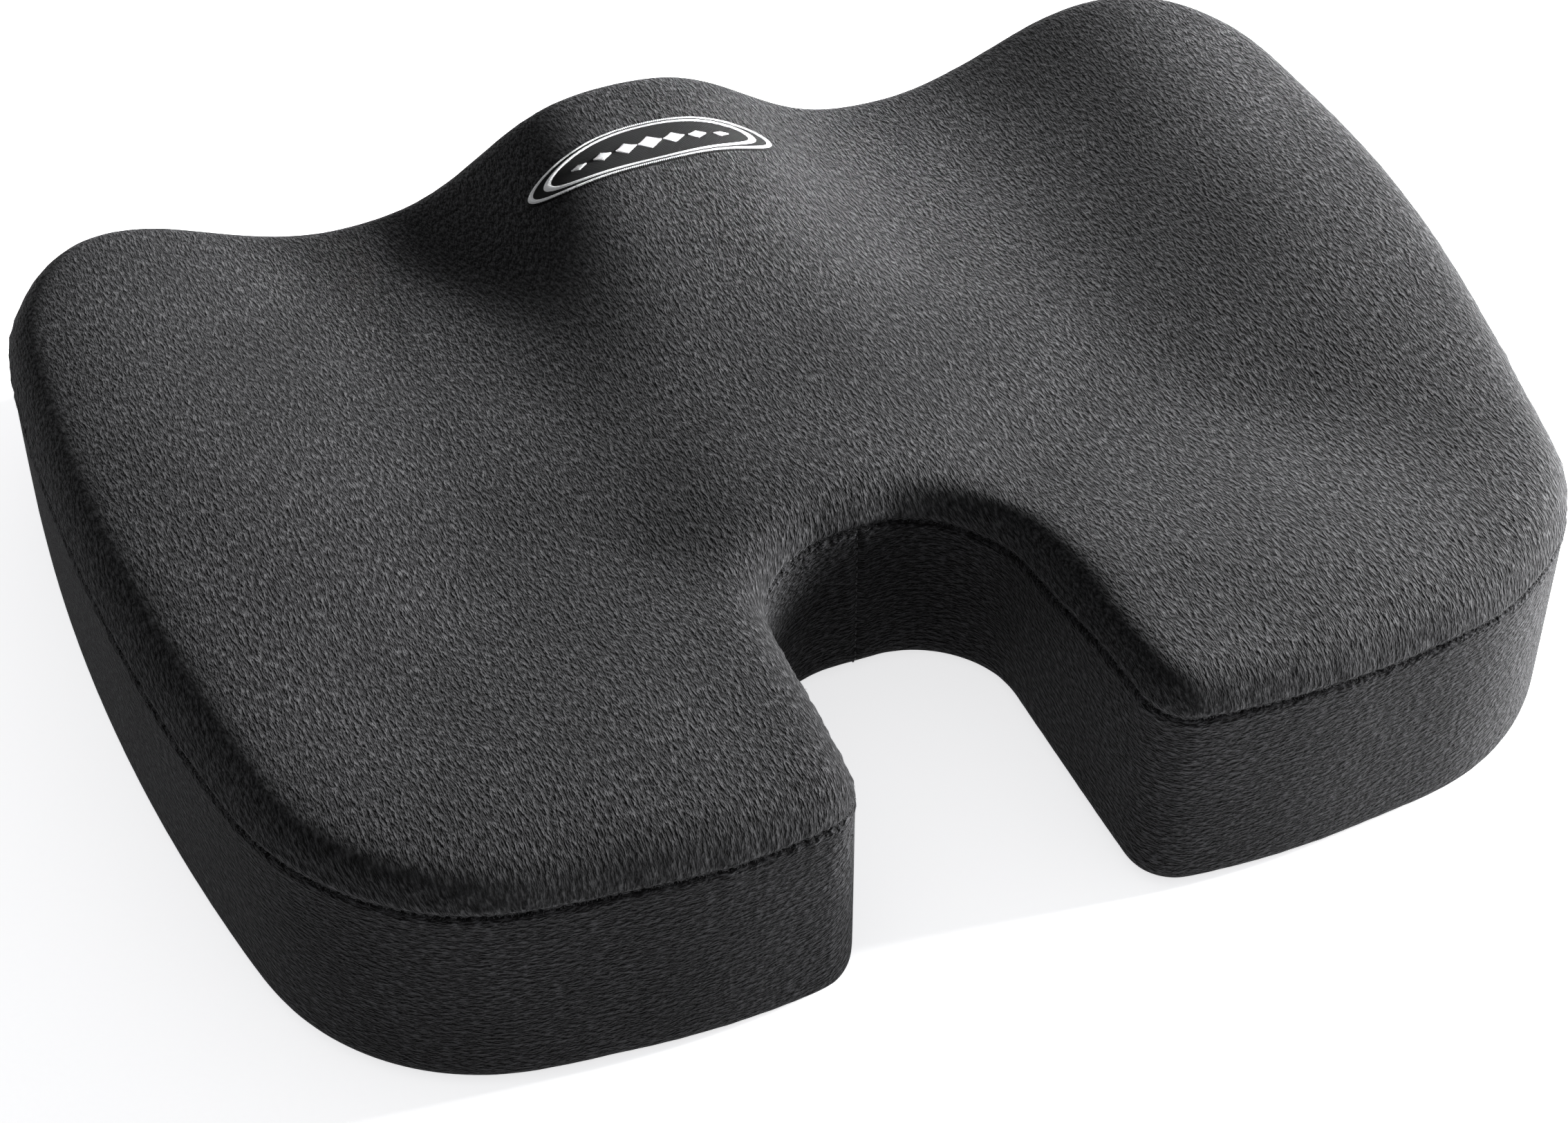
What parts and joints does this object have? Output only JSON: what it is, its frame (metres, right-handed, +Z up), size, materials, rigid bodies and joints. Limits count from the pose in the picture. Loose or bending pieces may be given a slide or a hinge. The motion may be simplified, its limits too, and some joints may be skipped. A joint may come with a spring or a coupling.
{
  "type": "seat cushion",
  "caption": "Contoured foam seat cushion with a U-shaped cut-out at the rear, a raised pommel between two leg troughs, and a zipped velour cover with a grip base.",
  "frame": {"origin": "on the floor plane, at the middle of the cushion's bounding box seen from above", "axes": "+X across the seat to the sitter's left, +Y towards the front edge with the pommel, +Z up; the notch opens to -Y"},
  "size_m": [0.4502, 0.3518, 0.0844],
  "materials": {
    "foam": "open-cell polyurethane foam, matte",
    "velour": "short-pile knitted velour with a soft sheen",
    "velour_band": "the same velour, pile brushed downwards",
    "base_fabric": "flat knitted polyester",
    "grip_rubber": "soft rubber dots, satin",
    "thread": "spun polyester sewing thread",
    "label_satin": "woven satin ribbon, blank",
    "zip_tape": "woven polyester tape",
    "zip_coil": "nylon coil",
    "zip_metal": "black enamel on die-cast zinc",
    "patch_twill": "black twill",
    "patch_silver": "silver-grey embroidery thread"
  },
  "bodies": {
    "cushion": {"foam_core": "foam", "top_panel": "velour", "left_side_band": "velour_band", "right_side_band": "velour_band", "front_band_upper": "velour_band", "front_band_lower": "velour_band", "base_panel": "base_fabric", "grip_dots": "grip_rubber", "top_seam_thread": "thread", "base_seam_thread": "thread", "band_join_thread": "thread", "care_label": "label_satin", "zip_tape_upper": "zip_tape", "zip_tape_lower": "zip_tape", "zip_coil_upper": "zip_coil", "zip_coil_lower": "zip_coil", "zip_top_stops": "zip_metal", "zip_bottom_stop": "zip_metal", "zip_stitching": "thread", "patch_base": "patch_twill", "patch_border": "patch_silver", "patch_motif": "patch_silver"},
    "slider": {"zip_slider": "zip_metal"},
    "pull": {"zip_pull": "zip_metal"}
  },
  "joints": [
    {"name": "zip_slide", "type": "slide", "parent": "cushion", "child": "slider", "axis": [-1, 0, 0], "range_m": [0, 0.236]},
    {"name": "pull_swing", "type": "hinge", "parent": "slider", "child": "pull", "pos_m": [0.118, 0.1746, 0.02], "axis": [0, 0, -1], "range_deg": [0, 172]}
  ]
}
